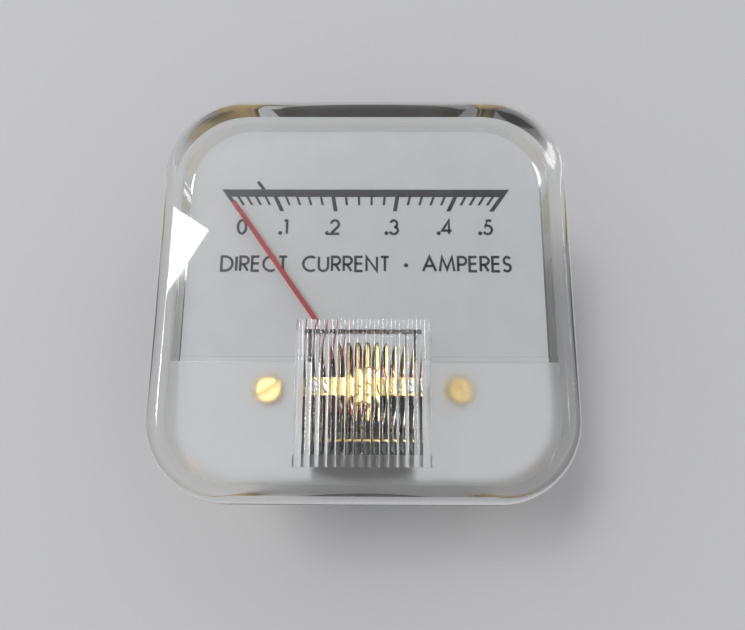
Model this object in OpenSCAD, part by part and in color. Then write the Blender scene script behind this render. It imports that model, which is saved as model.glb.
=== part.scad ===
/* [Cover] */
// Width and height of the square clear cover
cover_size = 44; // [40:0.5:50]
// Corner radius of the cover, seen from the front
cover_corner_r = 8.7; // [8.2:0.1:9.4]
// Radius of the rounded front edge
cover_edge_r = 1.5; // [0.5:0.1:1.7]
// Thickness of the cover's side walls
wall_t = 1.9; // [1.6:0.1:2.2]
// Thickness of the cover's flat front
front_t = 1.8; // [1.4:0.1:2.2]
// Clear space between the dial and the cover's flat front
window_gap = 2.2; // [2:0.1:3]
// Drop of the step inside the front, below the scale
step_depth = 0.3; // [0.1:0.05:0.5]
// Breadth of that step
step_w = 0.55; // [0.4:0.05:0.8]
// Height of that step above the pivot
step_y = 2.65; // [2.4:0.05:3]

/* [Fluted block] */
// Width of the raised block over the movement
block_w = 14; // [13.5:0.1:15]
// Top end of the block, above the pivot
block_top = 6.8; // [6.6:0.1:7]
// Bottom end of the block, below the pivot
block_bottom = 8.05; // [7.8:0.05:8.2]
// Number of convex flutes across the block
flute_count = 16; // [12:1:20]
// Slope of the block's sides and top end, measured at its crest
block_draft = 0.3; // [0.1:0.05:0.5]
// Skin left between the pocket and the valleys of the flutes
block_skin = 1.2; // [1:0.1:1.6]
// Wall left between the pocket and the block's outside
pocket_wall = 1.2; // [0.9:0.1:1.4]

/* [Dial] */
// Gap between the dial's edge and the inside of the cover
dial_gap = 0.55; // [0.3:0.05:0.8]
// Thickness of the dial plate
dial_t = 0.5; // [0.4:0.05:0.8]
// Height of the pivot above the inside of the cover's lower wall
pivot_rise = 9.7; // [9.5:0.1:10.4]
// Half width of the arched cut-out round the movement
cutout_r = 5.2; // [5.1:0.1:6]
// Thickness of the printed ink
ink_t = 0.05; // [0.02:0.01:0.08]
// Distance from the pivot to the lower edge of the scale bar
scale_rise = 21.87; // [21:0.1:22.4]
// Breadth of the scale bar
scale_bar_t = 0.87; // [0.5:0.05:1.2]
// Length of a minor graduation mark
minor_len = 1; // [0.6:0.1:1.4]
// Length of a major graduation mark
major_len = 1.73; // [1.4:0.1:2.2]
// Breadth of a minor graduation mark
minor_w = 0.25; // [0.15:0.05:0.35]
// Breadth of a major graduation mark
major_w = 0.42; // [0.3:0.05:0.55]
// Divisions on the scale
divisions = 25; // [20:5:30]
// Divisions between two major marks
major_every = 5; // [5:5:5]
// Angle of each end of the scale from the middle
scale_half_angle = 35; // [30:0.5:36]
// Bend of the scale's spacing, as a sine term in degrees
scale_bend = 4; // [0:0.5:4.5]
// Diameter of a dial screw's head
dial_screw_head_d = 3; // [2.4:0.1:3.2]
// Gap between a dial post and the inside of the case
post_gap = 1.17; // [0.8:0.01:1.3]

/* [Case] */
// Breadth of the case's flange beyond its barrel
flange_lip = 1.2; // [1:0.1:1.4]
// Room in the case under the movement's frame
floor_room = 4.34; // [3.8:0.02:8]
// Wall thickness of the case
barrel_wall = 1.5; // [1.2:0.1:2]
// Gap between the case's flange and the inside of the cover
flange_gap = 0.4; // [0.2:0.05:0.5]
// Rise of the locating shoulder where the case passes the rear flange
shoulder_t = 0.3; // [0.2:0.05:0.4]
// Thickness of the case's flange
flange_t = 1; // [0.8:0.1:1.4]
// Thickness of the gasket under that flange
gasket_t = 0.3; // [0.2:0.05:0.5]
// Thickness of the clear rear flange
rear_t = 1.2; // [1:0.1:1.8]

/* [Studs] */
// Thread diameter of the mounting and terminal studs
stud_d = 3; // [2.5:0.5:3]
// Distance of a mounting stud from the inside of the cover's walls
stud_inset = 4.1; // [3.9:0.05:4.2]
// Thread that shows past the outer terminal nuts
stud_spare = 1.8; // [1:0.1:4]
// Distance of each terminal from the upright centre line
terminal_x = 9; // [8.5:0.5:10]
// Distance of the terminals below the middle of the case
terminal_drop = 6; // [5.5:0.5:7]
// Thickness of a terminal nut
nut_t = 2.2; // [1.8:0.1:2.4]
// Thickness of a terminal washer and of a solder lug
washer_t = 0.4; // [0.3:0.1:0.5]

/* [Movement] */
// Radius of the soft iron core
core_r = 2.6; // [2.3:0.1:2.7]
// Width of the air gap round the core
air_gap = 1.25; // [1.25:0.05:1.5]
// Height of the coil over its winding
coil_h = 9.5; // [9.3:0.1:10]
// Thickness of the aluminium coil former
former_t = 0.2; // [0.1:0.05:0.25]
// Thickness of the copper winding on the former
winding_t = 0.5; // [0.3:0.05:0.55]
// Breadth of the coil
coil_w = 1.7; // [1.2:0.1:1.8]
// Width of the magnet
magnet_w = 9.2; // [8:0.2:10]
// Gap between the pointer and the dial
pointer_gap = 1; // [0.9:0.05:1.2]
// Length of the pointer from the pivot to its tip
pointer_len = 25.4; // [24:0.1:26]
// Breadth of the pointer
pointer_w = 0.5; // [0.3:0.05:0.6]
// Breadth of the brass bridge
bridge_w = 1.8; // [1.6:0.1:2.2]
// Thickness of the brass bridge
bridge_t = 0.7; // [0.5:0.1:0.8]
// Distance of each bridge pillar's axis beyond the pole bore
pillar_offset = 0.55; // [0.5:0.05:0.65]
// Diameter of the round lock nut on the bridge
lock_nut_d = 3.9; // [3.2:0.1:4.2]
// Turns in each hairspring
spring_turns = 4; // [3:1:5]

/* [Hidden] */
$fn = 64;

// Clearances
slide_gap = 0.1;
part_gap = 0.3;
shaft_gap = 0.05;
seat_gap = 0.02;
swing_gap = 0.15;
eps = 0.01;

// Levels above the panel's face, from the back of the cover to the front
flange_z = rear_t + gasket_t;
dial_z = flange_z + flange_t;
face_z = dial_z + dial_t;
inner_z = face_z + window_gap;
cover_h = inner_z + front_t;
pointer_z = face_z + pointer_gap;
pointer_t = 0.2;
hub_t = 0.5;
spring_h = 0.3;
spring_z = pointer_z + hub_t + seat_gap;
jewel_z = spring_z + spring_h + swing_gap;
arm_t = 0.35;
arm_z = jewel_z + seat_gap;
bridge_z = arm_z + arm_t + seat_gap;
bridge_top = bridge_z + bridge_t;
lock_nut_t = 0.5;
jewel_top = bridge_top + lock_nut_t + 0.4;
pocket_z = jewel_top + 0.4;
valley_z = pocket_z + block_skin;
flute_pitch = (block_w - block_draft) / flute_count;
flute_r = flute_pitch * 0.53;
crest_z = valley_z + flute_r;

// Levels of the coil, which hangs under the pointer's hub
cross_t = 0.2;
coil_top = pointer_z - cross_t - 0.25;
coil_mid = coil_top - coil_h / 2;
coil_bottom = coil_top - coil_h;
strap_t = 0.4;
strap_w = 2.2;
strap_head_t = 0.24;
pole_top = dial_z - strap_t - strap_head_t - shaft_gap;
pole_bottom = 2 * coil_mid - pole_top;
pole_h = pole_top - pole_bottom;
pole_r = core_r + air_gap;
coil_out = pole_r - 0.25;
coil_in = coil_out - former_t - winding_t;
frame_top = 2 * coil_mid - bridge_z;
frame_t = 1.4;
frame_bottom = frame_top - frame_t;
barrel_floor = frame_bottom - floor_room;
barrel_depth = barrel_wall - barrel_floor;

// Places in plan
half = cover_size / 2;
cavity_half = half - wall_t;
cavity_r = cover_corner_r - wall_t;
pivot_y = pivot_rise - cavity_half;
dial_half = cavity_half - dial_gap;
flange_r = cavity_half - flange_gap;
barrel_r = flange_r - flange_lip;
shoulder_r = barrel_r + shoulder_t;
rear_edge = 0.5;
barrel_in_r = barrel_r - barrel_wall;
stud_xy = cavity_half - stud_inset;
stud_end = -barrel_depth - 2 * nut_t - 2 * washer_t - stud_spare;
post_r = 1.4;
dial_screw_x = sqrt(pow(barrel_in_r - post_r - post_gap, 2) - pow(pivot_y, 2));
pole_half_w = dial_screw_x - post_r - part_gap;
pole_arm = 3.05;
magnet_y = pole_r + pole_arm;
magnet_len = 4.5;
pole_low = 3.8;
pole_split = 1.3;
pillar_x = pole_r + pillar_offset;
pillar_r = 0.5;

// Movement frame, measured from the pivot
frame_low = 6.6;
frame_waist = 2.4;
frame_high = 14;
frame_edge = 0.2;
boss_r = 2;
boss_x = 8;
boss_high = 11.9;
boss_low = 4.2;
foot_r = 1.3;
foot_low = 1.8;
foot_high = 8;

// Screws
screw_bite = 3.2;
slot_w = 0.35;
small_screw_r = 0.6;
small_head_r = 1.1;
head_gap = 0.2;
stud_shoulder = 0.2;

// Moving element
pointer_rest = 90 + scale_half_angle;
over_swing = 3;
staff_r = 0.25;
hub_r = 0.6;
jewel_r = 0.95;
arm_w = 0.4;
stop_wire_r = 0.2;
stop_r = pole_r + 0.25;
stop_angle = scale_half_angle + over_swing
    + asin((arm_w / 2 + stop_wire_r + seat_gap) / stop_r);
spring_in = 0.5;
spring_out = 2.3;
strip_t = 0.08;
spring_post_r = 0.2;
spring_post_x = spring_out + strip_t / 2 + seat_gap + spring_post_r;

module at_pivot(z = 0) {
    translate([0, pivot_y, z]) children();
}

// A square with round corners
module round_square(h, r) {
    square([2 * h, 2 * (h - r)], center = true);
    square([2 * (h - r), 2 * h], center = true);
    for (x = [-1, 1], y = [-1, 1]) translate([x * (h - r), y * (h - r)]) circle(r);
}

// Section through the cover's body with its round front edge, from the middle out
module edge_profile(reach) {
    square([reach - cover_edge_r, cover_h]);
    square([reach, cover_h - cover_edge_r]);
    translate([reach - cover_edge_r, cover_h - cover_edge_r]) circle(cover_edge_r);
}

module cover_bar() {
    length = 2 * (half - cover_corner_r);
    rotate([90, 0, 0]) linear_extrude(length, center = true) {
        edge_profile(half);
        mirror([1, 0]) edge_profile(half);
    }
}

module cover_slab() {
    cover_bar();
    rotate([0, 0, 90]) cover_bar();
    corner = half - cover_corner_r;
    for (x = [-1, 1], y = [-1, 1])
        translate([x * corner, y * corner]) rotate_extrude() edge_profile(cover_corner_r);
}

// Section across the flutes
module flute_profile() {
    crest_half = block_w / 2 - block_draft;
    polygon([
        [-block_w / 2, cover_h - front_t / 2],
        [block_w / 2, cover_h - front_t / 2],
        [crest_half, valley_z],
        [-crest_half, valley_z]
    ]);
    pitch = (2 * crest_half - 2 * flute_r) / (flute_count - 1);
    for (i = [0 : flute_count - 1])
        translate([-crest_half + flute_r + i * pitch, valley_z]) circle(flute_r, $fn = 24);
}

// Section along the flutes, with the sloped top end
module block_side() {
    polygon([
        [pivot_y - block_bottom, cover_h - front_t / 2],
        [pivot_y + block_top, cover_h - front_t / 2],
        [pivot_y + block_top - 2 * block_draft, crest_z + 1],
        [pivot_y - block_bottom, crest_z + 1]
    ]);
}

module fluted_block() {
    intersection() {
        translate([0, pivot_y + block_top + 1, 0]) rotate([90, 0, 0])
            linear_extrude(block_top + block_bottom + 2) flute_profile();
        translate([-block_w, 0, 0]) rotate([90, 0, 90])
            linear_extrude(2 * block_w) block_side();
    }
}

module front_cover() {
    pocket_half = block_w / 2 - pocket_wall;
    pocket_low = pivot_y - block_bottom + pocket_wall;
    pocket_len = block_top + block_bottom - 2 * pocket_wall;
    color([0.86, 0.88, 0.88, 0.35]) {
        difference() {
            union() {
                cover_slab();
                fluted_block();
            }
            translate([0, 0, -eps]) linear_extrude(inner_z + eps)
                round_square(cavity_half, cavity_r);
            translate([-pocket_half, pocket_low, 0]) cube([2 * pocket_half, pocket_len, pocket_z]);
        }
        for (side = [-1, 1])
            translate([side > 0 ? pocket_half : -cavity_half, pivot_y + step_y, inner_z - step_depth])
                cube([cavity_half - pocket_half, step_w, step_depth]);
    }
}

module stud_places() {
    for (x = [-1, 1], y = [-1, 1]) translate([x * stud_xy, y * stud_xy]) children();
}

module rear_flange() {
    color([0.86, 0.88, 0.88, 0.35]) difference() {
        linear_extrude(rear_t) round_square(cavity_half - slide_gap, cavity_r - slide_gap);
        translate([0, 0, -1]) cylinder(rear_t + 2, r = shoulder_r + slide_gap);
        stud_places() translate([0, 0, -1])
            cylinder(rear_t + 2, r = stud_d / 2 + stud_shoulder + seat_gap);
    }
}

module case_gasket() {
    color([0.62, 0.55, 0.36]) translate([0, 0, rear_t]) difference() {
        cylinder(gasket_t, r = flange_r);
        translate([0, 0, -1]) cylinder(gasket_t + 2, r = shoulder_r + slide_gap);
    }
}

module frame_boss_places() {
    at = [[boss_x, boss_high], [-boss_x, boss_high], [0, -boss_low]];
    for (p = at) translate([p[0], pivot_y + p[1]]) children();
}

module terminal_places() {
    for (x = [-1, 1]) translate([x * terminal_x, -terminal_drop]) children();
}

module case_barrel() {
    boss_h = frame_bottom - barrel_floor;
    color([0.07, 0.06, 0.055]) difference() {
        union() {
            translate([0, 0, flange_z]) cylinder(flange_t, r = flange_r);
            cylinder(flange_z + flange_t, r = shoulder_r);
            translate([0, 0, -shoulder_t])
                cylinder(shoulder_t + eps, r1 = barrel_r, r2 = shoulder_r + eps);
            translate([0, 0, rear_edge - barrel_depth])
                cylinder(barrel_depth - rear_edge, r = barrel_r);
            translate([0, 0, -barrel_depth])
                cylinder(rear_edge, r1 = barrel_r - rear_edge, r2 = barrel_r);
        }
        difference() {
            translate([0, 0, barrel_floor]) cylinder(dial_z - barrel_floor + 1, r = barrel_in_r);
            frame_boss_places() translate([0, 0, barrel_floor - 1]) cylinder(boss_h + 1, r = boss_r);
        }
        frame_boss_places() translate([0, 0, barrel_floor])
            cylinder(boss_h + 1, r = small_screw_r + seat_gap);
        terminal_places() translate([0, 0, -barrel_depth - 1])
            cylinder(barrel_wall + 2, r = stud_d / 2 + shaft_gap);
    }
}

module dial_screw_places() {
    for (x = [-1, 1]) translate([x * dial_screw_x, pivot_y]) children();
}

module dial_plate() {
    color([0.72, 0.72, 0.73]) difference() {
        translate([0, 0, dial_z]) linear_extrude(dial_t) round_square(dial_half, cavity_r);
        at_pivot(dial_z - 1) cylinder(dial_t + 2, r = cutout_r);
        translate([-cutout_r, pivot_y - dial_half, dial_z - 1])
            cube([2 * cutout_r, dial_half, dial_t + 2]);
        dial_screw_places() translate([0, 0, dial_z - 1])
            cylinder(dial_t + 2, r = small_screw_r + shaft_gap);
    }
}

// Angle of a graduation mark from the middle of the scale
function mark_angle(i) =
    let (u = 2 * i / divisions - 1) scale_half_angle * u + scale_bend * sin(180 * u);

// A point at height y above the pivot on a ray at angle a, moved sideways by d
function ray(a, y, d) = [y * tan(a) + d / cos(a), pivot_y + y];

module mark(i) {
    a = mark_angle(i);
    major = i % major_every == 0;
    w = (major ? major_w : minor_w) / 2;
    low = scale_rise - (major ? major_len : minor_len);
    high = scale_rise + scale_bar_t / 2;
    polygon([ray(a, low, -w), ray(a, low, w), ray(a, high, w), ray(a, high, -w)]);
}

module scale_print() {
    top = scale_rise + scale_bar_t;
    end = scale_half_angle;
    color([0.1, 0.1, 0.11]) translate([0, 0, face_z]) linear_extrude(ink_t) {
        polygon([
            ray(-end, scale_rise, -major_w / 2), ray(end, scale_rise, major_w / 2),
            ray(end, top, major_w / 2), ray(-end, top, -major_w / 2)
        ]);
        for (i = [0 : divisions]) mark(i);
    }
}

// A slotted pan head standing on z = 0 with its shank below
module pan_screw(head_r, head_t, shank_r, shank_len) {
    difference() {
        union() {
            cylinder(head_t * 0.5, r = head_r);
            translate([0, 0, head_t * 0.5]) cylinder(head_t * 0.5, r1 = head_r, r2 = head_r * 0.8);
            translate([0, 0, -shank_len]) cylinder(shank_len + eps, r = shank_r);
        }
        translate([-head_r, -slot_w / 2, head_t * 0.5]) cube([2 * head_r, slot_w, head_t]);
    }
}

module dial_screws() {
    turn = [35, -50];
    color([0.72, 0.56, 0.25]) for (i = [0, 1])
        translate([(2 * i - 1) * dial_screw_x, pivot_y, face_z]) rotate([0, 0, turn[i]])
            pan_screw(dial_screw_head_d / 2, 0.8, small_screw_r, dial_t + screw_bite);
}

module dial_posts() {
    color([0.7, 0.55, 0.27]) dial_screw_places() difference() {
        translate([0, 0, frame_top]) cylinder(dial_z - frame_top, r = post_r);
        translate([0, 0, dial_z - screw_bite - 1]) cylinder(screw_bite + 2, r = small_screw_r + seat_gap);
    }
}

module pole_foot_places() {
    for (x = [-1, 1], y = [-foot_low, foot_high])
        translate([x * (pole_half_w - foot_r - frame_edge), pivot_y + y]) children();
}

module frame_outline() {
    frame_half_w = dial_screw_x + post_r + frame_edge;
    intersection() {
        circle(barrel_in_r - part_gap);
        translate([0, pivot_y]) union() {
            translate([-frame_half_w, -frame_low])
                square([2 * frame_half_w, frame_low + frame_waist]);
            translate([-boss_x - boss_r, -frame_low])
                square([2 * (boss_x + boss_r), frame_low + frame_high]);
        }
    }
}

module movement_frame() {
    color([0.6, 0.6, 0.61]) difference() {
        union() {
            translate([0, 0, frame_bottom]) linear_extrude(frame_t) frame_outline();
            pole_foot_places() translate([0, 0, frame_bottom])
                cylinder(pole_bottom - frame_bottom, r = foot_r);
        }
        frame_boss_places() translate([0, 0, frame_bottom - 1])
            cylinder(frame_t + 2, r = small_screw_r + shaft_gap);
        at_pivot(frame_bottom - 1) cylinder(frame_t + 2, r = jewel_r + seat_gap);
        at_pivot(frame_bottom - 1) rotate([0, 0, lower_post_angle]) translate([spring_post_x, 0])
            cylinder(frame_t + 2, r = 2 * spring_post_r + seat_gap);
    }
}

module frame_screws() {
    color([0.55, 0.55, 0.56]) frame_boss_places() translate([0, 0, frame_top])
        pan_screw(small_head_r, 0.7, small_screw_r, frame_t + min(screw_bite, 0.7 * floor_room));
}

// Half of the soft iron circuit, beside the pivot
module pole_outline() {
    difference() {
        translate([0, -pole_low]) square([pole_half_w, pole_low + magnet_y + magnet_len]);
        circle(pole_r);
        translate([-1, -2 * pole_low]) square([1 + pole_split, 6 * pole_low]);
        translate([0, magnet_y]) square([magnet_w / 2, magnet_len + 1]);
    }
}

module pole_pieces() {
    color([0.36, 0.34, 0.33]) for (side = [0, 1])
        at_pivot(pole_bottom) linear_extrude(pole_h) mirror([side, 0]) pole_outline();
}

module strap_screw_places() {
    at_pivot() children();
    at_pivot() translate([0, magnet_y + magnet_len / 2]) children();
}

module magnet() {
    color([0.3, 0.29, 0.3]) difference() {
        at_pivot(pole_bottom) translate([-magnet_w / 2, magnet_y, 0])
            cube([magnet_w, magnet_len, pole_h]);
        strap_screw_places() translate([0, 0, pole_top - screw_bite])
            cylinder(screw_bite + 1, r = small_screw_r + seat_gap);
    }
}

module core() {
    color([0.42, 0.4, 0.39]) difference() {
        at_pivot(pole_bottom) cylinder(pole_h, r = core_r);
        strap_screw_places() translate([0, 0, pole_top - screw_bite])
            cylinder(screw_bite + 1, r = small_screw_r + seat_gap);
    }
}

module core_support() {
    strap_end = magnet_y + magnet_len / 2;
    color([0.72, 0.58, 0.3]) difference() {
        at_pivot(pole_top) union() {
            translate([-strap_w / 2, 0, 0]) cube([strap_w, strap_end, strap_t]);
            cylinder(strap_t, r = strap_w / 2);
            translate([0, strap_end, 0]) cylinder(strap_t, r = strap_w / 2);
        }
        strap_screw_places() translate([0, 0, pole_top - 1])
            cylinder(strap_t + 2, r = small_screw_r + shaft_gap);
    }
}

module core_screws() {
    color([0.6, 0.6, 0.6]) strap_screw_places() translate([0, 0, pole_top + strap_t])
        pan_screw(strap_w / 2 - 0.15, strap_head_t, small_screw_r, strap_t + screw_bite - 1);
}

// Turned so that the pointer lies along +X
module on_pointer(z) {
    at_pivot(z) rotate([0, 0, pointer_rest]) children();
}

// An upright rectangular loop round the pivot, square to the pointer
module coil_loop(out, out_h, thick, breadth) {
    on_pointer(coil_mid) difference() {
        cube([breadth, 2 * out, 2 * out_h], center = true);
        cube([breadth + 2, 2 * (out - thick), 2 * (out_h - thick)], center = true);
    }
}

module coil_former() {
    color([0.8, 0.8, 0.8])
        coil_loop(coil_out - winding_t, coil_h / 2 - winding_t, former_t, coil_w);
}

module coil_winding() {
    color([0.62, 0.27, 0.15])
        coil_loop(coil_out, coil_h / 2, winding_t - seat_gap, coil_w - 0.2);
}

foot_t = 0.15;

// A staff that stands on the coil's end, with its pivot point at the top
module staff() {
    pivot_h = 0.35;
    shaft_h = jewel_z - coil_top - 0.12;
    cylinder(foot_t, r = 0.7);
    cylinder(shaft_h, r = staff_r);
    translate([0, 0, shaft_h]) cylinder(pivot_h, r1 = staff_r, r2 = 0.04);
}

module upper_staff() {
    color([0.75, 0.75, 0.76]) at_pivot(coil_top) staff();
}

module lower_staff() {
    color([0.75, 0.75, 0.76]) at_pivot(coil_bottom) mirror([0, 0, 1]) staff();
}

module pointer() {
    color([0.6, 0.09, 0.08]) on_pointer(pointer_z) difference() {
        union() {
            cylinder(hub_t, r = hub_r);
            translate([0, -pointer_w / 2, 0]) cube([pointer_len, pointer_w, pointer_t]);
        }
        translate([0, 0, -1]) cylinder(hub_t + 2, r = staff_r + seat_gap);
    }
}

side_arm = coil_out - 0.2;
cross_z = pointer_z - cross_t - seat_gap;

module balance_cross() {
    tail = stop_r + 2 * stop_wire_r;
    color([0.78, 0.78, 0.76]) on_pointer(cross_z) difference() {
        union() {
            cylinder(cross_t, r = hub_r + 0.2);
            translate([-0.15, -side_arm, 0]) cube([0.3, 2 * side_arm, cross_t]);
            translate([-tail, -arm_w / 2, 0]) cube([tail, arm_w, cross_t]);
        }
        translate([0, 0, -1]) cylinder(cross_t + 2, r = staff_r + seat_gap);
    }
}

module balance_weight(grip_r) {
    difference() {
        translate([0, 0, -0.35]) cylinder(0.7, r = 0.28);
        translate([0, 0, -1]) cylinder(2, r = grip_r);
    }
}

module balance_weights() {
    color([0.5, 0.5, 0.5]) on_pointer(cross_z + cross_t / 2) {
        for (side = [-1, 1]) translate([0, side * (side_arm - 0.7), 0]) rotate([90, 0, 0])
            balance_weight(0.19);
        translate([-2.2, 0, 0]) rotate([0, 90, 0]) balance_weight(0.24);
    }
}

// A point on the hairspring at turn t of its length, offset by half its thickness
function spiral(t, offset) =
    (spring_in + (spring_out - spring_in) * t + offset)
    * [cos(360 * spring_turns * t), sin(360 * spring_turns * t)];

// A flat spiral hairspring with its collet; its outer end lies on +X
module hairspring() {
    steps = 28 * spring_turns;
    difference() {
        linear_extrude(spring_h) union() {
            circle(spring_in + strip_t / 2);
            polygon([
                for (i = [0 : steps]) spiral(i / steps, strip_t / 2),
                for (i = [steps : -1 : 0]) spiral(i / steps, -strip_t / 2)
            ]);
        }
        translate([0, 0, -1]) cylinder(spring_h + 2, r = staff_r + seat_gap);
    }
}

upper_post_angle = -90;
lower_post_angle = 160;

module upper_hairspring() {
    color([0.75, 0.66, 0.45]) at_pivot(spring_z) rotate([0, 0, upper_post_angle]) hairspring();
}

module lower_hairspring() {
    color([0.75, 0.66, 0.45]) at_pivot(2 * coil_mid - spring_z - spring_h)
        rotate([0, 0, lower_post_angle]) mirror([0, 1, 0]) hairspring();
}

// Post through the frame that holds the lower spring's outer end
module spring_stud() {
    top = 2 * coil_mid - spring_z;
    color([0.72, 0.58, 0.3]) at_pivot() rotate([0, 0, lower_post_angle])
        translate([spring_post_x, 0, 0]) {
            translate([0, 0, frame_bottom - 0.8]) cylinder(top - frame_bottom + 0.8, r = spring_post_r);
            translate([0, 0, frame_bottom]) cylinder(frame_t, r = 2 * spring_post_r);
        }
}

module zero_arm() {
    arm_len = spring_post_x + 0.8;
    color([0.75, 0.6, 0.3]) at_pivot(arm_z) rotate([0, 0, upper_post_angle]) difference() {
        union() {
            cylinder(arm_t, r = jewel_r + 0.6);
            translate([0, -0.35, 0]) cube([arm_len, 0.7, arm_t]);
            translate([spring_post_x, 0, spring_z - arm_z])
                cylinder(arm_z - spring_z + eps, r = spring_post_r);
        }
        translate([0, 0, -1]) cylinder(arm_t + 2, r = jewel_r + shaft_gap);
    }
}

module pillar_places() {
    for (x = [-1, 1]) translate([x * pillar_x, pivot_y]) children();
}

module bridge_pillars() {
    color([0.72, 0.57, 0.28]) pillar_places() difference() {
        translate([0, 0, pole_top]) cylinder(bridge_z - pole_top, r = pillar_r);
        translate([0, 0, bridge_z - screw_bite / 2 - 0.2])
            cylinder(screw_bite, r = pillar_r * 0.6 + seat_gap);
    }
}

module upper_bridge() {
    reach = pillar_x + 0.55;
    color([0.76, 0.62, 0.3]) difference() {
        at_pivot(bridge_z) union() {
            translate([-reach, -bridge_w / 2, 0]) cube([2 * reach, bridge_w, bridge_t]);
            cylinder(bridge_t, r = lock_nut_d / 2 - 0.2);
        }
        at_pivot(bridge_z - 1) cylinder(bridge_t + 2, r = jewel_r + seat_gap);
        pillar_places() translate([0, 0, bridge_z - 1])
            cylinder(bridge_t + 2, r = pillar_r * 0.6 + shaft_gap);
    }
}

module bridge_screws() {
    color([0.35, 0.34, 0.33]) pillar_places() translate([0, 0, bridge_top])
        rotate([0, 0, 30]) pan_screw(pillar_r + 0.2, 0.45, pillar_r * 0.6, bridge_t + screw_bite / 2);
}

// A slotted screw with a cupped jewel seat at z = 0
module jewel_screw(length) {
    difference() {
        cylinder(length, r = jewel_r);
        translate([0, 0, -eps]) cylinder(0.4, r1 = 0.35, r2 = 0.05);
        translate([-jewel_r, -0.15, length - 0.3]) cube([2 * jewel_r, 0.3, 1]);
    }
}

module lock_nut() {
    difference() {
        union() {
            cylinder(lock_nut_t * 0.6, r = lock_nut_d / 2);
            translate([0, 0, lock_nut_t * 0.6])
                cylinder(lock_nut_t * 0.4, r1 = lock_nut_d / 2, r2 = lock_nut_d / 2 - 0.2);
        }
        translate([0, 0, -1]) cylinder(lock_nut_t + 2, r = jewel_r + seat_gap);
    }
}

module upper_jewel_screw() {
    color([0.8, 0.67, 0.36]) at_pivot(jewel_z) rotate([0, 0, 20]) jewel_screw(jewel_top - jewel_z);
}

module upper_lock_nut() {
    color([0.78, 0.64, 0.33]) at_pivot(bridge_top) lock_nut();
}

module lower_jewel_screw() {
    top = 2 * coil_mid - jewel_z;
    color([0.8, 0.67, 0.36]) at_pivot(top) mirror([0, 0, 1])
        jewel_screw(top - frame_bottom + lock_nut_t + 0.4);
}

module lower_lock_nut() {
    color([0.78, 0.64, 0.33]) at_pivot(frame_bottom) mirror([0, 0, 1]) lock_nut();
}

// A round wire from p to q, along one axis, with rounded ends
module wire(p, q, r) {
    d = q - p;
    length = norm(d);
    translate(p) rotate([0, acos(d[2] / length), atan2(d[1], d[0])]) cylinder(length, r = r);
    translate(p) sphere(r);
    translate(q) sphere(r);
}

// A wire bent square at each of its points
module bent_wire(points, r) {
    for (i = [1 : len(points) - 1]) wire(points[i - 1], points[i], r);
}

module stop_wire() {
    x = stop_r * sin(stop_angle);
    y = -stop_r * cos(stop_angle);
    run_y = -5.1;
    rise = cross_z + cross_t + 0.3 - pole_top;
    color([0.8, 0.66, 0.33]) at_pivot(pole_top + stop_wire_r) for (side = [-1, 1]) {
        wire([side * x, y, 0], [side * x, y, rise], stop_wire_r);
        wire([side * x, y, 0], [side * x, run_y, 0], stop_wire_r);
        wire([0, run_y, 0], [side * x, run_y, 0], stop_wire_r);
    }
}

// A hexagon nut standing on z = 0, with both faces chamfered
module hex_nut(bore_r, across, thick) {
    corner = across / 2 / cos(30);
    slope = (corner - across / 2) * 0.6;
    difference() {
        intersection() {
            cylinder(thick, r = corner, $fn = 6);
            union() {
                cylinder(slope, r1 = across / 2, r2 = corner);
                translate([0, 0, slope]) cylinder(thick - 2 * slope, r = corner);
                translate([0, 0, thick - slope]) cylinder(slope, r1 = corner, r2 = across / 2);
            }
        }
        translate([0, 0, -1]) cylinder(thick + 2, r = bore_r);
    }
}

head_across = 1.83 * stud_d;
stud_head_t = 1.6;
stud_point = 0.4;

module terminal_studs() {
    seat = barrel_floor + washer_t;
    color([0.76, 0.62, 0.32]) terminal_places() {
        translate([0, 0, seat]) cylinder(stud_head_t, r = head_across / 2 / cos(30), $fn = 6);
        translate([0, 0, stud_end + stud_point])
            cylinder(seat - stud_end - stud_point + eps, r = stud_d / 2);
        translate([0, 0, stud_end])
            cylinder(stud_point, r1 = stud_d / 2 - stud_point, r2 = stud_d / 2);
    }
}

module terminal_nuts() {
    outer_z = -barrel_depth - nut_t - 2 * washer_t;
    turn = [12, 40];
    color([0.76, 0.62, 0.32]) for (i = [0, 1])
        translate([(2 * i - 1) * terminal_x, -terminal_drop]) for (z = [-barrel_depth, outer_z])
            translate([0, 0, z - nut_t]) rotate([0, 0, turn[i]])
                hex_nut(stud_d / 2 + seat_gap, head_across, nut_t);
}

module terminal_washers() {
    color([0.7, 0.7, 0.68]) terminal_places() difference() {
        translate([0, 0, -barrel_depth - nut_t - 2 * washer_t])
            cylinder(washer_t, r = stud_d + 0.2);
        translate([0, 0, stud_end]) cylinder(barrel_depth, r = stud_d / 2 + shaft_gap);
    }
}

lug_w = 2.6;
lug_hole_r = 0.7;

module solder_lugs() {
    eye_r = stud_d + 0.1;
    lug_z = -barrel_depth - nut_t - washer_t;
    tail = 2.5 * stud_d;
    color([0.8, 0.78, 0.72]) terminal_places() translate([0, 0, lug_z])
        linear_extrude(washer_t) difference() {
            union() {
                circle(eye_r);
                translate([-lug_w / 2, -tail]) square([lug_w, tail]);
                translate([0, -tail]) circle(lug_w / 2);
            }
            circle(stud_d / 2 + shaft_gap);
            translate([0, -tail]) circle(lug_hole_r);
        }
}

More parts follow.
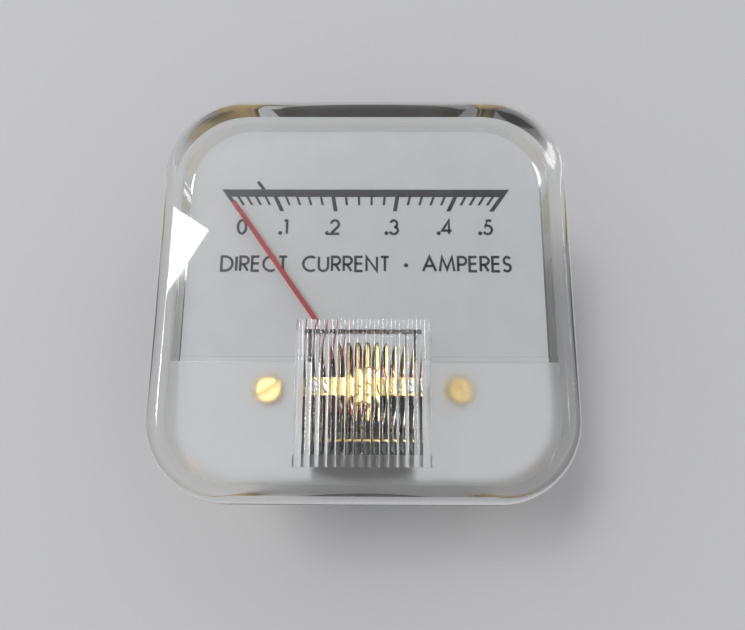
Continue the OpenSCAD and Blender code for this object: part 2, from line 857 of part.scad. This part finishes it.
// A stud from z = low up to a cone that meets its shoulder at z = 0
module stud_shank(low) {
    shoulder = stud_d / 2 + stud_shoulder;
    translate([0, 0, low]) cylinder(stud_point, r1 = stud_d / 2 - stud_point, r2 = stud_d / 2);
    translate([0, 0, low + stud_point])
        cylinder(-low - stud_point - part_gap, r = stud_d / 2);
    translate([0, 0, -part_gap]) cylinder(part_gap, r1 = stud_d / 2, r2 = shoulder);
    cylinder(rear_t + eps, r = shoulder);
}

module mounting_studs() {
    color([0.74, 0.62, 0.34]) stud_places() {
        translate([0, 0, rear_t]) cylinder(dial_z - rear_t - head_gap, r = 0.8 * stud_d);
        stud_shank(stud_end);
    }
}

module shunt_strip() {
    strip_w = 1.8 * stud_d;
    color([0.5, 0.42, 0.36]) translate([0, -terminal_drop, barrel_floor])
        linear_extrude(washer_t) difference() {
            union() {
                for (x = [-1, 1]) translate([x * terminal_x, 0]) circle(strip_w / 2);
                translate([-terminal_x, -strip_w / 4]) square([2 * terminal_x, strip_w / 2]);
            }
            for (x = [-1, 1]) translate([x * terminal_x, 0]) circle(stud_d / 2 + shaft_gap);
        }
}

lead_r = 0.25;
lead_drop = 0.8;

module lead_wires() {
    r = lead_r;
    head_z = barrel_floor + washer_t + stud_head_t + r;
    low_z = frame_bottom - lead_drop - r;
    stud_x = spring_post_x * cos(lower_post_angle);
    stud_y = pivot_y + spring_post_x * sin(lower_post_angle);
    color([0.45, 0.1, 0.08]) {
        bent_wire([
            [-terminal_x, -terminal_drop, head_z],
            [-terminal_x, -terminal_drop, low_z],
            [-terminal_x, stud_y, low_z],
            [stud_x, stud_y, low_z]
        ], r);
        wire([terminal_x, -terminal_drop, head_z], [terminal_x, -terminal_drop, frame_bottom - r], r);
    }
}

front_cover();
rear_flange();
case_gasket();
case_barrel();
dial_plate();
scale_print();
dial_screws();
dial_posts();
movement_frame();
frame_screws();
pole_pieces();
magnet();
core();
core_support();
core_screws();
coil_former();
coil_winding();
upper_staff();
lower_staff();
pointer();
balance_cross();
balance_weights();
upper_hairspring();
lower_hairspring();
spring_stud();
zero_arm();
bridge_pillars();
upper_bridge();
bridge_screws();
upper_jewel_screw();
upper_lock_nut();
lower_jewel_screw();
lower_lock_nut();
stop_wire();
terminal_studs();
terminal_nuts();
terminal_washers();
solder_lugs();
mounting_studs();
shunt_strip();
lead_wires();
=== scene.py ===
"""Looks of the analog panel meter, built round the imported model. Lengths are in
millimetres and MM turns them into Blender's metres, except for the lamp and the
floor, which are in metres."""

import math

import bmesh
import bpy
from mathutils import Matrix, Vector


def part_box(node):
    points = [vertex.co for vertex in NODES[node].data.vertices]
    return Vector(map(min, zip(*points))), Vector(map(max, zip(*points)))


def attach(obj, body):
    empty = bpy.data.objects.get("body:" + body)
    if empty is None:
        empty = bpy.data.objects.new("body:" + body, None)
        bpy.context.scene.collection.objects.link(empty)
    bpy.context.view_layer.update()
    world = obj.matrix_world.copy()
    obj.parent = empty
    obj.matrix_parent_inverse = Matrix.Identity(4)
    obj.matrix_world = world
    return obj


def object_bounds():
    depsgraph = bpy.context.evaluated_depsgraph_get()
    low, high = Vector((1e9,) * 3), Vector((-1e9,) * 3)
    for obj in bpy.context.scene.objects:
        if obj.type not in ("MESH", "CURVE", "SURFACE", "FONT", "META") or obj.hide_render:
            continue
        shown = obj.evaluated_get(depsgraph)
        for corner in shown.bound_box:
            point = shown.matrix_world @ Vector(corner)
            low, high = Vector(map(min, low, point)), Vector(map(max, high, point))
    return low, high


MM = 0.001
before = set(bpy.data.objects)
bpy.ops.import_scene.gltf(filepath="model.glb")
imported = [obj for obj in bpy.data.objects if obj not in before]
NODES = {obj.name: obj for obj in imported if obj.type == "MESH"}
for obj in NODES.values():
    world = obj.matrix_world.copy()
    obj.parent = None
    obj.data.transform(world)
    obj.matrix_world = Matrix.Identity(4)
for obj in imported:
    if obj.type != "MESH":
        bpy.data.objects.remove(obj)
cad_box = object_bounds()


def mm_box(node):
    """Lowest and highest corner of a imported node, in millimetres."""
    low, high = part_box(node)
    return [v / MM for v in low], [v / MM for v in high]


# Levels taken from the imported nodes

DIAL_FACE = mm_box("dial_plate")[1][2]
INK_TOP = mm_box("scale_print")[1][2]
INK_FOOT = DIAL_FACE + 0.002
BAR_TOP = mm_box("scale_print")[1][1]
FLOOR_Z = cad_box[0][2]
PIVOT_Y = sum(v[1] for v in mm_box("upper_lock_nut")) / 2

# Camera

SENSOR_WIDTH = 36.0
LENS = 33.83
CLIP_START = 0.002
CAMERA_TURN = (-14.2, -0.5, -0.3)
CAMERA_PLACE = (1.615, -20.744, 76.798)

# Lights and stage

WALLS = (0.36, 0.365, 0.375)
BRIGHT = (0.86, 0.875, 0.9)
OVERHEAD = (0.16, 0.16, 0.165)
WALL_BAND = (0.1, 0.6)
OVERHEAD_BAND = (0.82, 0.93)
KEY_PLACE = (-0.36, 0.2, 0.8)
KEY_SIZE = (0.34, 0.12)
KEY_POWER = 3.0
FLOOR_REACH = 0.6
FLOOR_COLOR = (0.56, 0.555, 0.56)
FLOOR_ROUGH = 0.7

# Clear moulding, frosted on its inner face below the step

CLEAR_TINT = (0.975, 0.98, 0.97)
CLEAR_IOR = 1.49
CLEAR_ROUGH = 0.02
FROST_ROUGH = 0.6
STEP_RISE = 2.65
STEP_Y = PIVOT_Y + STEP_RISE
INNER_FACE = 5.2
FACE_SLACK = 0.03
FROST_DEPTH = 0.4
FACING_BLEND = 0.35
FACING_BAND = (0.25, 0.9)
LAMP_THROUGH = 0.97
LAMP_EDGE_ON = 0.6

# Print on the dial

STROKE = 0.27
NUMBER_FOOT = 6.92
NUMBER_HEIGHT = 1.86
POINT_R = 0.22
POINT_BACK = 0.28
NUMBER_LEFT = {"0": -14.3, "1": -9.15, "2": -3.95, "3": 2.65, "4": 8.45, "5": 13.05}
LEGEND = ["DIRECT", "CURRENT", ".", "AMPERES"]
LEGEND_LEFT = -15.9
LEGEND_RIGHT = 16.1
LEGEND_FOOT = 2.6
LEGEND_HEIGHT = 1.9
WORD_GAP = 1.5
DOT_R = 0.24
DOT_RISE = 0.42
DISC_SIDES = 20
MARK_BREADTH = 0.36
MARK_PATH = [(-11.4, -0.05), (-11.75, 0.4), (-12.15, 0.95)]


def add_camera():
    data = bpy.data.cameras.new("camera")
    data.sensor_width = SENSOR_WIDTH
    data.lens = LENS
    data.clip_start = CLIP_START
    camera = bpy.data.objects.new("camera", data)
    bpy.context.collection.objects.link(camera)
    tilt, yaw, roll = (math.radians(a) for a in CAMERA_TURN)
    turn = Matrix.Rotation(tilt, 3, "X") @ Matrix.Rotation(yaw, 3, "Y")
    turn = turn @ Matrix.Rotation(roll, 3, "Z")
    camera.matrix_world = turn.transposed().to_4x4()
    camera.location = Vector(CAMERA_PLACE) * MM
    bpy.context.scene.camera = camera


def add_key_lamp():
    """One window-like lamp at the upper left, aimed at the origin."""
    data = bpy.data.lights.new("key", "AREA")
    data.shape = "RECTANGLE"
    data.size, data.size_y = KEY_SIZE
    data.energy = KEY_POWER
    lamp = bpy.data.objects.new("key", data)
    bpy.context.collection.objects.link(lamp)
    lamp.location = KEY_PLACE
    toward = -Vector(KEY_PLACE)
    lamp.rotation_euler = toward.to_track_quat("-Z", "Y").to_euler()


def add_world():
    """A soft room with pale walls, dimmer right overhead."""
    world = bpy.data.worlds.new("studio")
    bpy.context.scene.world = world
    world.use_nodes = True
    nt = world.node_tree
    background = nt.nodes["Background"]
    coord = nt.nodes.new("ShaderNodeTexCoord")
    split = nt.nodes.new("ShaderNodeSeparateXYZ")
    nt.links.new(coord.outputs["Generated"], split.inputs[0])
    walls = ramp(nt, split.outputs["Z"], WALLS, BRIGHT, *WALL_BAND)
    dim = ramp(nt, split.outputs["Z"], 0.0, 1.0, *OVERHEAD_BAND)
    mix = nt.nodes.new("ShaderNodeMixRGB")
    mix.inputs[2].default_value = (*OVERHEAD, 1)
    nt.links.new(dim, mix.inputs[0])
    nt.links.new(walls, mix.inputs[1])
    nt.links.new(mix.outputs["Color"], background.inputs["Color"])
    background.inputs["Strength"].default_value = 1.0


def add_stage():
    """The table, level with the ends of the rear studs."""
    mesh = bpy.data.meshes.new("floor")
    reach = FLOOR_REACH
    corners = [(-reach, -reach), (reach, -reach), (reach, reach), (-reach, reach)]
    mesh.from_pydata([(x, y, FLOOR_Z) for x, y in corners], [], [(0, 1, 2, 3)])
    floor = bpy.data.objects.new("floor", mesh)
    bpy.context.collection.objects.link(floor)
    mesh.materials.append(material("floor_paper", FLOOR_COLOR, FLOOR_ROUGH)[0])


# Materials


def material(name, color, rough, metal=0.0):
    mat = bpy.data.materials.new(name)
    mat.use_nodes = True
    nt = mat.node_tree
    bsdf = nt.nodes["Principled BSDF"]
    bsdf.inputs["Base Color"].default_value = (*color, 1)
    bsdf.inputs["Roughness"].default_value = rough
    bsdf.inputs["Metallic"].default_value = metal
    return mat, nt, bsdf


def noise(nt, scale, detail):
    """Noise over the object's own place, with scale in cycles per millimetre."""
    coord = nt.nodes.new("ShaderNodeTexCoord")
    mapping = nt.nodes.new("ShaderNodeMapping")
    mapping.inputs["Scale"].default_value = [scale / MM] * 3
    nt.links.new(coord.outputs["Object"], mapping.inputs["Vector"])
    tex = nt.nodes.new("ShaderNodeTexNoise")
    tex.inputs["Scale"].default_value = 1.0
    tex.inputs["Detail"].default_value = detail
    nt.links.new(mapping.outputs["Vector"], tex.inputs["Vector"])
    return tex.outputs["Fac"]


def ramp(nt, source, low, high, start=0.3, end=0.7):
    """A number or colour that runs from low to high as source goes from start to end."""
    node = nt.nodes.new("ShaderNodeValToRGB")
    node.color_ramp.elements[0].position = start
    node.color_ramp.elements[1].position = end
    for element, value in zip(node.color_ramp.elements, (low, high)):
        element.color = (*value, 1) if isinstance(value, tuple) else (value, value, value, 1)
    nt.links.new(source, node.inputs["Fac"])
    return node.outputs["Color"]


def bump(nt, bsdf, source, height):
    """Bump of that height in millimetres."""
    node = nt.nodes.new("ShaderNodeBump")
    node.inputs["Distance"].default_value = height * MM
    node.inputs["Strength"].default_value = 1.0
    nt.links.new(source, node.inputs["Height"])
    nt.links.new(node.outputs["Normal"], bsdf.inputs["Normal"])


def varied(name, dark, light, rough, metal, scale, height):
    """A finish whose colour, roughness and surface all vary a little."""
    mat, nt, bsdf = material(name, light, 0.5, metal)
    grain = noise(nt, scale, 4.0)
    patches = noise(nt, scale * 0.15, 2.0)
    nt.links.new(ramp(nt, patches, dark, light), bsdf.inputs["Base Color"])
    nt.links.new(ramp(nt, grain, rough[0], rough[1]), bsdf.inputs["Roughness"])
    bump(nt, bsdf, grain, height)
    return mat


def lamps_pass(nt, bsdf):
    """Lets shadow and diffuse rays through the glass: fewest where the surface
    stands edge on to them."""
    out = nt.nodes["Material Output"]
    path = nt.nodes.new("ShaderNodeLightPath")
    layer = nt.nodes.new("ShaderNodeLayerWeight")
    layer.inputs["Blend"].default_value = FACING_BLEND
    shade = nt.nodes.new("ShaderNodeBsdfTransparent")
    through = ramp(nt, layer.outputs["Facing"], LAMP_THROUGH, LAMP_EDGE_ON, *FACING_BAND)
    nt.links.new(through, shade.inputs["Color"])
    mix = nt.nodes.new("ShaderNodeMixShader")
    either = nt.nodes.new("ShaderNodeMath")
    either.operation = "MAXIMUM"
    nt.links.new(path.outputs["Is Shadow Ray"], either.inputs[0])
    nt.links.new(path.outputs["Is Diffuse Ray"], either.inputs[1])
    nt.links.new(either.outputs["Value"], mix.inputs["Fac"])
    nt.links.new(bsdf.outputs["BSDF"], mix.inputs[1])
    nt.links.new(shade.outputs["BSDF"], mix.inputs[2])
    nt.links.new(mix.outputs["Shader"], out.inputs["Surface"])


def compare(nt, source, limit, operation):
    """1 where source is less or greater than limit, as operation says, else 0."""
    node = nt.nodes.new("ShaderNodeMath")
    node.operation = operation
    node.inputs[1].default_value = limit
    nt.links.new(source, node.inputs[0])
    return node.outputs["Value"]


def product(nt, a, b):
    node = nt.nodes.new("ShaderNodeMath")
    node.operation = "MULTIPLY"
    nt.links.new(a, node.inputs[0])
    nt.links.new(b, node.inputs[1])
    return node.outputs["Value"]


def clear_acrylic(name, frosted):
    mat, nt, bsdf = material(name, CLEAR_TINT, CLEAR_ROUGH)
    bsdf.inputs["Transmission Weight"].default_value = 1.0
    bsdf.inputs["IOR"].default_value = CLEAR_IOR
    if frosted:
        coord = nt.nodes.new("ShaderNodeTexCoord")
        split = nt.nodes.new("ShaderNodeSeparateXYZ")
        nt.links.new(coord.outputs["Object"], split.inputs[0])
        low = compare(nt, split.outputs["Y"], STEP_Y * MM, "LESS_THAN")
        inside = compare(nt, split.outputs["Z"], (INNER_FACE + FACE_SLACK) * MM, "LESS_THAN")
        above = compare(nt, split.outputs["Z"], (INNER_FACE - FROST_DEPTH) * MM, "GREATER_THAN")
        mask = product(nt, product(nt, low, inside), above)
        rough = ramp(nt, mask, CLEAR_ROUGH, FROST_ROUGH, 0.0, 1.0)
        nt.links.new(rough, bsdf.inputs["Roughness"])
    lamps_pass(nt, bsdf)
    return mat


# Name, dark and light colour, roughness, metal, noise scale and bump height
BRASS = ("brass", (0.62, 0.45, 0.16), (0.8, 0.62, 0.28), (0.25, 0.42), 1.0, 1.5, 0.01)
STEEL = ("steel", (0.4, 0.4, 0.41), (0.55, 0.55, 0.56), (0.3, 0.5), 1.0, 1.5, 0.01)
FINISHES = {
    "case_gasket": ("cork", (0.42, 0.35, 0.2), (0.55, 0.47, 0.28), (0.8, 0.9), 0, 1.2, 0.05),
    "case_barrel": (
        "phenolic", (0.012, 0.011, 0.01), (0.02, 0.018, 0.017), (0.3, 0.45), 0, 0.6, 0.02),
    "dial_plate": (
        "dial_enamel", (0.52, 0.525, 0.53), (0.545, 0.55, 0.56), (0.5, 0.6), 0, 3.0, 0.004),
    "scale_print": (
        "dial_ink", (0.008, 0.008, 0.009), (0.02, 0.02, 0.022), (0.45, 0.6), 0, 6.0, 0.004),
    "movement_frame": (
        "die_cast", (0.4, 0.4, 0.41), (0.5, 0.5, 0.51), (0.45, 0.6), 1.0, 1.0, 0.03),
    "pole_pieces": (
        "soft_iron", (0.03, 0.03, 0.03), (0.06, 0.055, 0.05), (0.4, 0.6), 1.0, 1.0, 0.02),
    "coil_winding": (
        "enamelled_copper", (0.3, 0.05, 0.02), (0.5, 0.12, 0.05), (0.25, 0.4), 0.6, 0.6, 0.03),
    "pointer": (
        "pointer_paint", (0.25, 0.006, 0.006), (0.36, 0.01, 0.01), (0.4, 0.55), 0, 2.0, 0.005),
    "coil_former": (
        "bright_strip", (0.7, 0.7, 0.7), (0.85, 0.85, 0.86), (0.2, 0.35), 1.0, 1.5, 0.005),
    "solder_lugs": ("tinned", (0.6, 0.6, 0.56), (0.75, 0.74, 0.7), (0.25, 0.45), 1.0, 1.0, 0.01),
    "shunt_strip": (
        "manganin", (0.35, 0.24, 0.17), (0.45, 0.33, 0.25), (0.4, 0.5), 1.0, 1.0, 0.01),
    "lead_wires": ("sleeve", (0.3, 0.03, 0.02), (0.4, 0.05, 0.03), (0.6, 0.7), 0, 1.0, 0.01),
}
SAME_FINISH = {
    "magnet": "pole_pieces",
    "core": "pole_pieces",
    "balance_cross": "coil_former",
    "terminal_washers": "solder_lugs",
    "balance_weights": "solder_lugs",
}
STEEL_NODES = ("frame_screws", "core_screws", "upper_staff", "lower_staff", "bridge_screws")


def finish_cad_nodes():
    """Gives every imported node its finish: brass, unless a table above says otherwise."""
    finishes = {
        "front_cover": clear_acrylic("clear_acrylic", True),
        "rear_flange": clear_acrylic("clear_acrylic_rear", False),
    }
    brass = varied(*BRASS)
    steel = varied(*STEEL)
    for node, finish in FINISHES.items():
        finishes[node] = varied(*finish)
    for node, other in SAME_FINISH.items():
        finishes[node] = finishes[other]
    for node in STEEL_NODES:
        finishes[node] = steel
    for node, obj in NODES.items():
        obj.data.materials.clear()
        obj.data.materials.append(finishes.get(node, brass))


# Lettering: single strokes with one breadth, on a cap height of 1


def arc(cx, cy, rx, ry, start, end, steps):
    angles = [math.radians(start + (end - start) * i / steps) for i in range(steps + 1)]
    return [(cx + rx * math.cos(a), cy + ry * math.sin(a)) for a in angles]


BOWL = arc(0.27, 0.73, 0.27, 0.27, 90, -90, 14)
BOWL_STROKE = [(0, 0), (0, 1), (0.24, 1)] + BOWL[1:-1] + [(0.24, 0.46), (0, 0.46)]
D_BOWL = arc(0.24, 0.5, 0.5, 0.5, 86, -86, 22)
S_TOP = arc(0.24, 0.745, 0.215, 0.255, 30, 255, 18)
S_FOOT = arc(0.22, 0.25, 0.24, 0.25, 75, -150, 18)
GLYPHS = {
    "A": (0.86, [[(0, 0), (0.43, 1), (0.86, 0)], [(0.16, 0.36), (0.70, 0.36)]]),
    "C": (0.80, [arc(0.52, 0.5, 0.5, 0.5, 55, 305, 26)]),
    "D": (0.74, [[(0, 0), (0, 1), (0.24, 1)] + D_BOWL + [(0.24, 0), (0, 0)]]),
    "E": (0.48, [[(0.48, 1), (0, 1), (0, 0), (0.48, 0)], [(0, 0.52), (0.46, 0.52)]]),
    "I": (0.0, [[(0, 0), (0, 1)]]),
    "M": (0.96, [[(0, 0), (0.14, 1), (0.48, 0.12), (0.82, 1), (0.96, 0)]]),
    "N": (0.70, [[(0, 0), (0, 1), (0.70, 0), (0.70, 1)]]),
    "P": (0.50, [BOWL_STROKE]),
    "R": (0.52, [BOWL_STROKE, [(0.22, 0.46), (0.52, 0)]]),
    "S": (0.46, [S_TOP + S_FOOT]),
    "T": (0.54, [[(0, 1), (0.54, 1)], [(0.27, 1), (0.27, 0)]]),
    "U": (0.62, [[(0, 1), (0, 0.31)] + arc(0.31, 0.31, 0.31, 0.31, 180, 360, 18)[1:] + [(0.62, 1)]]),
    "0": (0.56, [arc(0.28, 0.5, 0.28, 0.5, 0, 360, 36)]),
    "1": (0.2, [[(0, 0.98), (0.2, 0.98), (0.2, 0)]]),
    "2": (0.56, [arc(0.29, 0.71, 0.27, 0.29, 172, -38, 18) + [(0.0, 0.0), (0.6, 0.0)]]),
    "3": (0.54, [arc(0.26, 0.74, 0.23, 0.26, 160, -80, 18), arc(0.25, 0.26, 0.29, 0.27, 80, -160, 18)]),
    "4": (0.6, [[(0.46, 0), (0.46, 1), (0, 0.25), (0.64, 0.25)]]),
    "5": (0.56, [[(0.54, 1), (0.22, 1), (0.12, 0.56)] + arc(0.26, 0.31, 0.30, 0.31, 118, -150, 22)]),
}


def ribbon(bm, points, breadth):
    """A flat stroke of that breadth along the points, standing on the dial."""
    closed = (Vector(points[0]) - Vector(points[-1])).length < 1e-6
    path = [Vector(p) for p in (points[:-1] if closed else points)]
    count = len(path)
    left, right = [], []
    for i, p in enumerate(path):
        before = path[i - 1] if closed or i else None
        after = path[(i + 1) % count] if closed or i < count - 1 else None
        into = (p - before).normalized() if before is not None else (after - p).normalized()
        out = (after - p).normalized() if after is not None else into
        across = Vector((-into.y - out.y, into.x + out.x))
        across = across.normalized() if across.length > 1e-6 else Vector((-into.y, into.x))
        stretch = min(1 / max(across.dot(Vector((-into.y, into.x))), 0.2), 2.6)
        left.append(p + across * stretch * breadth / 2)
        right.append(p - across * stretch * breadth / 2)
    rings = []
    for level in (INK_FOOT, INK_TOP):
        for side in (left, right):
            rings.append([bm.verts.new((*p, level)) for p in side])
    ll, lr, hl, hr = rings
    for i in range(count if closed else count - 1):
        j = (i + 1) % count
        bm.faces.new((hl[i], hr[i], hr[j], hl[j]))
        bm.faces.new((ll[i], ll[j], lr[j], lr[i]))
        bm.faces.new((hl[i], hl[j], ll[j], ll[i]))
        bm.faces.new((hr[i], lr[i], lr[j], hr[j]))
    if not closed:
        bm.faces.new((hl[0], ll[0], lr[0], hr[0]))
        bm.faces.new((hl[-1], hr[-1], lr[-1], ll[-1]))


def disc(bm, x, y, radius):
    """A round dot standing on the dial."""
    turn = [2 * math.pi * i / DISC_SIDES for i in range(DISC_SIDES)]
    rim = [(x + radius * math.cos(a), y + radius * math.sin(a)) for a in turn]
    low, high = [[bm.verts.new((*p, level)) for p in rim] for level in (INK_FOOT, INK_TOP)]
    for i in range(DISC_SIDES):
        j = (i + 1) % DISC_SIDES
        bm.faces.new((low[i], low[j], high[j], high[i]))
    bm.faces.new(high)
    bm.faces.new(low[::-1])


def finish_mesh(bm, name, mat):
    """A bmesh in millimetres becomes an object in metres."""
    bmesh.ops.recalc_face_normals(bm, faces=bm.faces)
    bmesh.ops.scale(bm, vec=(MM, MM, MM), verts=bm.verts)
    mesh = bpy.data.meshes.new(name)
    bm.to_mesh(mesh)
    bm.free()
    mesh.materials.append(mat)
    obj = bpy.data.objects.new(name, mesh)
    bpy.context.collection.objects.link(obj)
    return obj


def glyph(bm, name, x, y, height):
    """One character with its left edge at x and its foot at y."""
    scale = height - STROKE
    for stroke in GLYPHS[name][1]:
        path = [(x + STROKE / 2 + px * scale, y + STROKE / 2 + py * scale) for px, py in stroke]
        ribbon(bm, path, STROKE)


def glyph_width(name, height):
    return GLYPHS[name][0] * (height - STROKE) + STROKE


def add_numbers(ink):
    """0 to .5, each in its place under its own graduation."""
    bm = bmesh.new()
    for name, x in NUMBER_LEFT.items():
        glyph(bm, name, x, NUMBER_FOOT, NUMBER_HEIGHT)
        if name != "0":
            disc(bm, x - POINT_BACK, NUMBER_FOOT + POINT_R, POINT_R)
    numbers = finish_mesh(bm, "scale_numbers", ink)
    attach(numbers, "case")


def add_legend(ink):
    """The unit line, spaced out to its full length."""
    letters = sum(glyph_width(c, LEGEND_HEIGHT) for w in LEGEND if w != "." for c in w)
    gaps = sum(len(w) - 1 for w in LEGEND if w != ".")
    fixed = letters + 2 * DOT_R + WORD_GAP * (len(LEGEND) - 1)
    gap = (LEGEND_RIGHT - LEGEND_LEFT - fixed) / gaps
    bm = bmesh.new()
    x = LEGEND_LEFT
    for word in LEGEND:
        if word == ".":
            disc(bm, x + DOT_R, LEGEND_FOOT + DOT_RISE * LEGEND_HEIGHT, DOT_R)
            x += 2 * DOT_R + WORD_GAP
            continue
        for c in word:
            glyph(bm, c, x, LEGEND_FOOT, LEGEND_HEIGHT)
            x += glyph_width(c, LEGEND_HEIGHT) + gap
        x += WORD_GAP - gap
    legend = finish_mesh(bm, "unit_legend", ink)
    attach(legend, "case")


def add_reference_mark(ink):
    """The short slanting mark that stands on the bar."""
    bm = bmesh.new()
    ribbon(bm, [(x, BAR_TOP + rise) for x, rise in MARK_PATH], MARK_BREADTH)
    mark = finish_mesh(bm, "reference_mark", ink)
    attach(mark, "case")


def main():
    bpy.context.scene.view_settings.view_transform = "Standard"
    add_camera()
    add_world()
    add_key_lamp()
    add_stage()
    finish_cad_nodes()
    ink = NODES["scale_print"].data.materials[0]
    add_numbers(ink)
    add_legend(ink)
    add_reference_mark(ink)


main()
